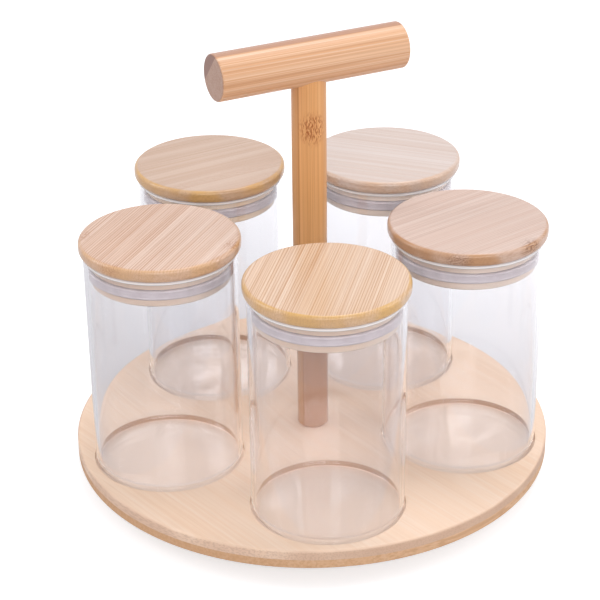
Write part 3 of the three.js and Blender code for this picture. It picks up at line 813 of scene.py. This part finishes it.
def make_lid(number):
    """Lid: a disc with rounded edges and a grooved plug. Seal: a band in the groove with two rounded lips."""
    centre, low, high = node_place(f"lid_{number}")
    seal_low, seal_high = node_place(f"lid_{number}_seal")[1:]
    under = high - LID_THICKNESS
    groove = PLUG_RADIUS - SEAL_SINK
    outline = profile(
        (0.0, low),
        (PLUG_RADIUS - PLUG_CHAMFER, low),
        (PLUG_RADIUS, low + PLUG_CHAMFER),
        (PLUG_RADIUS, seal_low - GROOVE_MARGIN),
        (groove, seal_low - GROOVE_MARGIN),
        (groove, seal_high + GROOVE_MARGIN),
        (PLUG_RADIUS, seal_high + GROOVE_MARGIN),
        (PLUG_RADIUS, under),
        arc(LID_RADIUS - LID_BOTTOM_ROUND, under + LID_BOTTOM_ROUND, LID_BOTTOM_ROUND, -90, 0),
        arc(LID_RADIUS - LID_TOP_ROUND, high - LID_TOP_ROUND, LID_TOP_ROUND, 0, 90),
        (0.0, high),
    )
    look = {**LID_LOOK, "shift": LID_STRIP_SHIFT * number, **LID_LOOKS[number - 1]}
    wood = bamboo(f"bamboo_lid_{number}_oiled", flat_grain(centre, high, look["angle"]), look)
    lid = piece(f"lid_{number}_bamboo", [turned(outline, centre)])
    dress(lid, wood, f"lid_{number}_set", f"lid_{number}")
    inside = groove + FIT_GAP
    lip = SEAL_ROUND
    lip_radius = PLUG_RADIUS + SEAL_PROUD - lip
    ring = profile(
        (inside, seal_low),
        arc(lip_radius, seal_low + lip, lip, -90, SEAL_LIP_ANGLE),
        arc(lip_radius, seal_high - lip, lip, -SEAL_LIP_ANGLE, 90),
        (inside, seal_high),
        (inside, seal_low),
    )
    seal = piece(f"lid_{number}_silicone_seal", [turned(ring, centre)])
    dress(seal, silicone, f"lid_{number}_set", f"lid_{number}_seal")


# Bearing
def make_rings():
    """Outer ring: turned, with a ball groove inside and pad pockets below. Inner ring: turned, with a ball
    groove outside and countersunk screw holes from below."""
    low, high = node_place("bearing_base_ring")[1:]
    level = sum(node_place("bearing_ball_01")[1:]) / 2
    sector = math.radians(HOLE_SECTOR)
    inner, outer = OUTER_RING
    half = math.degrees(math.acos((inner - BALL_CIRCLE_RADIUS) / GROOVE_RADIUS))
    walls = profile(
        (outer - RING_CHAMFER, low),
        (outer, low + RING_CHAMFER),
        (outer, high - RING_CHAMFER),
        (outer - RING_CHAMFER, high),
        (inner, high),
        arc(BALL_CIRCLE_RADIUS, level, GROOVE_RADIUS, half, -half),
        (inner, low),
    )
    pad_centre, _, pad_high = node_place("foot_pad_1")
    pocket = PAD_RADIUS + FIT_GAP
    roof = pad_high + PAD_ROOF_GAP
    hole = profile((pocket, low), (pocket, roof), (0.0, roof))
    pads = (PAD_COUNT, 0.0, np.linalg.norm(pad_centre), hole)
    window = (sector, inner, outer - RING_CHAMFER)
    made = piece("bearing_base_ring_turned", pierced(low, pads, window, walls, RING_STEPS))
    dress(made, aluminium, "base", "bearing_base_ring")
    low, high = node_place("bearing_top_ring")[1:]
    inner, outer = INNER_RING
    walls = profile(
        (outer, low),
        arc(BALL_CIRCLE_RADIUS, level, GROOVE_RADIUS, 180 + half, 180 - half),
        (outer, high),
        (inner, high),
        (inner, low + RING_CHAMFER),
        (inner + RING_CHAMFER, low),
    )
    head = RING_SCREW_HEAD + FIT_GAP
    shank = RING_SCREW_RADIUS + FIT_GAP
    roof = high - SCREW_HOLE_ROOF
    hole = profile((head, low), (shank, low + head - shank), (shank, roof), (0.0, roof))
    screw_circle = np.linalg.norm(node_place("ring_screw_1")[0])
    screws = (RING_SCREW_COUNT, math.radians(RING_SCREW_FIRST_ANGLE), screw_circle, hole)
    window = (sector, inner + RING_CHAMFER, outer)
    made = piece("bearing_top_ring_turned", pierced(low, screws, window, walls, RING_STEPS))
    dress(made, aluminium, "turntable", "bearing_top_ring")


def make_screw(node, radius, head):
    """Countersunk screw, head down: a turned body whose face rises inwards in a cross, by depth * arm * slot.
    The arm ends along the longer offset from the axis, and the slot ends along the shorter one."""
    centre, low, high = node_place(node)
    face = np.column_stack([np.linspace(0, head, SCREW_FACE_STEPS + 1), np.full(SCREW_FACE_STEPS + 1, low)])
    shank = profile((radius, low + head - radius), (radius, high - SCREW_POINT), (0.0, high))
    grid = turned(np.vstack([face, shank]), centre, SMALL_SIDES)
    offset = np.abs(grid[..., :2] - centre) / head
    arm = np.clip((CROSS_REACH - offset.max(axis=-1)) / CROSS_REACH_FADE, 0, 1)
    slot = np.clip((CROSS_WIDTH - offset.min(axis=-1)) / CROSS_WIDTH_FADE, 0, 1)
    on_face = grid[..., 2] <= low + TINY
    grid[..., 2] += CROSS_DEPTH * head * arm * slot * on_face
    made = piece(f"{node}_cross_head", [grid])
    dress(made, steel, "turntable", node)


def make_bearing_details():
    """Foot pads with rounded edges, balls, screws, and the cage's own solid in its nylon."""
    for k in range(PAD_COUNT):
        centre, low, high = node_place(f"foot_pad_{k + 1}")
        rim = PAD_RADIUS - PAD_EDGE_ROUND
        outline = profile(
            (0.0, low),
            arc(rim, low + PAD_EDGE_ROUND, PAD_EDGE_ROUND, -90, 0),
            (PAD_RADIUS, high),
            (0.0, high),
        )
        made = piece(f"foot_pad_{k + 1}_rubber", [turned(outline, centre, SMALL_SIDES)])
        dress(made, rubber, "base", f"foot_pad_{k + 1}")
    balls = [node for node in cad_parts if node.startswith("bearing_ball_")]
    for node in sorted(balls):
        centre, low, high = node_place(node)
        outline = arc(0.0, (low + high) / 2, BALL_RADIUS, -90, 90, BALL_STEPS)
        made = piece(f"{node}_steel", [turned(outline, centre, BALL_SIDES)])
        dress(made, steel, "ball_set", node)
    for k in range(RING_SCREW_COUNT):
        make_screw(f"ring_screw_{k + 1}", RING_SCREW_RADIUS, RING_SCREW_HEAD)
    make_screw("post_screw", POST_SCREW_RADIUS, POST_SCREW_HEAD)
    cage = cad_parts["ball_cage"]
    cage.data.materials.clear()
    cage.data.materials.append(nylon)


# Stage: lengths in millimetres for the floor and in metres for the lamps
FLOOR_HALF_SIZE = 6000.0
FLOOR_COLOUR = "#d4d3d6"
FLOOR_GLOW = 0.61
WORLD_LIGHT = 0.6
# In glass the backdrop carries a painted shadow: dark near the rack, paler far from it
SHADOW_NEAR_IN_GLASS = "#2d2d3c"
FAR_IN_GLASS = "#d8d7da"
SKY_IN_GLASS = "#f2f1f6"
SHADOW_FADE_WAY = (1.2, 2.2, 0.0)  # to the back right, for each metre
SHADOW_FADE_RANGE = {1: 0.13, 2: 0.7}  # near at input 1, far at input 2
LIGHT_BOUNCES = 32
LAMP_TARGET = (0.0, 0.0, 0.1)

# Each lamp's place, its width and height, and its power in watts
LAMPS = {
    "front_lamp": ((0.2, -1.5, 1.0), (1.6, 0.3), 9.6),
    "left_lamp": ((-1.3, 0.1, 0.9), (0.5, 0.9), 4.6),
    "right_lamp": ((1.3, 0.1, 0.9), (0.5, 0.9), 4.3),
    "top_lamp": ((0.3, 0.3, 1.8), (0.9, 0.9), 8.4),
    "back_lamp": ((-0.13, 2.0, 1.1), (0.14, 0.1), 0.1),
    "back_strip_lamp": ((0.0, 1.96, 1.21), (0.9, 0.06), 0.2),
}


def light_paths(tree):
    """Light that comes by way of gloss or glass, and the same together with what the camera sees directly."""
    path = add(tree, "LightPath").node.outputs
    bent = {0: path["Is Glossy Ray"], 1: path["Is Transmission Ray"]}
    mirrored = add(tree, "Math", bent, operation="MAXIMUM")
    seen = add(tree, "Math", {0: mirrored, 1: path["Is Camera Ray"]}, operation="MAXIMUM")
    return mirrored, seen


def make_floor():
    """A pale floor that the camera sees as white outside the shadow. Reflections and glass see it as a
    lavender-grey backdrop with a painted shadow: dark near the rack and paler to the back right, as in the
    photograph's glass."""
    span = np.array([-FLOOR_HALF_SIZE, FLOOR_HALF_SIZE])
    floor = piece("floor", [np.stack([*np.meshgrid(span, span), np.zeros((2, 2))], axis=-1)])
    material, tree = new_material("pale_floor")
    mirrored, seen = light_paths(tree)
    glow = add(tree, "Math", {0: seen, 1: FLOOR_GLOW}, operation="MULTIPLY")
    place = add(tree, "TexCoord", out="Object")
    away = add(tree, "VectorMath", {0: place, 1: SHADOW_FADE_WAY}, out="Value", operation="DOT_PRODUCT")
    away = add(tree, "MapRange", {0: away, **SHADOW_FADE_RANGE})
    # Painted shadow: the backdrop seen in glass is dark near the rack and paler away from it
    colour = add(tree, "Mix", {0: away, 6: linear(SHADOW_NEAR_IN_GLASS), 7: linear(FAR_IN_GLASS)}, **COLOURS)
    colour = add(tree, "Mix", {0: mirrored, 6: linear(WHITE), 7: colour}, **COLOURS)
    shader = add(
        tree,
        "BsdfPrincipled",
        {"Base Color": linear(FLOOR_COLOUR), "Roughness": 0.9, "Specular IOR Level": 0.0,
         "Emission Color": colour, "Emission Strength": glow},
    )
    add(tree, "OutputMaterial", {"Surface": shader})
    floor.data.materials.append(material)


def make_world(scene):
    """Plain light from all sides, which the camera sees as white and glass as a pale sky."""
    world = bpy.data.worlds.new("studio")
    world.use_nodes = True
    tree = world.node_tree
    tree.nodes.clear()
    mirrored, seen = light_paths(tree)
    strength = add(tree, "MapRange", {0: seen, 3: WORLD_LIGHT})
    colour = add(tree, "Mix", {0: mirrored, 6: linear(WHITE), 7: linear(SKY_IN_GLASS)}, **COLOURS)
    light = add(tree, "Background", {"Color": colour, "Strength": strength})
    add(tree, "OutputWorld", {"Surface": light})
    scene.world = world


def make_lamps(scene):
    """Soft lamps that face the jars. The two at the back are weak, for glints in the jars' floors."""
    for name, (place, (width, height), power) in LAMPS.items():
        lamp = bpy.data.lights.new(name, "AREA")
        lamp.shape = "RECTANGLE"
        lamp.size = width
        lamp.size_y = height
        lamp.energy = power
        made = bpy.data.objects.new(name, lamp)
        scene.collection.objects.link(made)
        ahead = np.array(LAMP_TARGET) - np.array(place)
        tilt = math.atan2(math.hypot(ahead[0], ahead[1]), -ahead[2])
        made.location = place
        made.rotation_euler = (tilt, 0.0, math.atan2(-ahead[0], ahead[1]))


def make_camera(scene):
    """Camera at the photograph's viewing angle."""
    lens = bpy.data.cameras.new("camera")
    lens.lens = CAMERA_LENS
    lens.sensor_width = SENSOR_WIDTH
    camera = bpy.data.objects.new("camera", lens)
    scene.collection.objects.link(camera)
    camera.location = CAMERA_PLACE
    camera.rotation_euler = np.radians(CAMERA_TURN)
    scene.camera = camera


def make_stage():
    """Floor, light and camera, with enough light bounces for glass behind glass."""
    scene = bpy.context.scene
    scene.view_settings.view_transform = "Standard"
    scene.cycles.max_bounces = LIGHT_BOUNCES
    scene.cycles.glossy_bounces = LIGHT_BOUNCES
    scene.cycles.transmission_bounces = LIGHT_BOUNCES
    scene.cycles.transparent_max_bounces = LIGHT_BOUNCES
    make_floor()
    make_world(scene)
    make_lamps(scene)
    make_camera(scene)


make_stage()
make_board()
make_post()
make_handle()
for jar_number in range(1, JAR_COUNT + 1):
    make_jar(jar_number)
    make_lid(jar_number)
make_rings()
make_bearing_details()
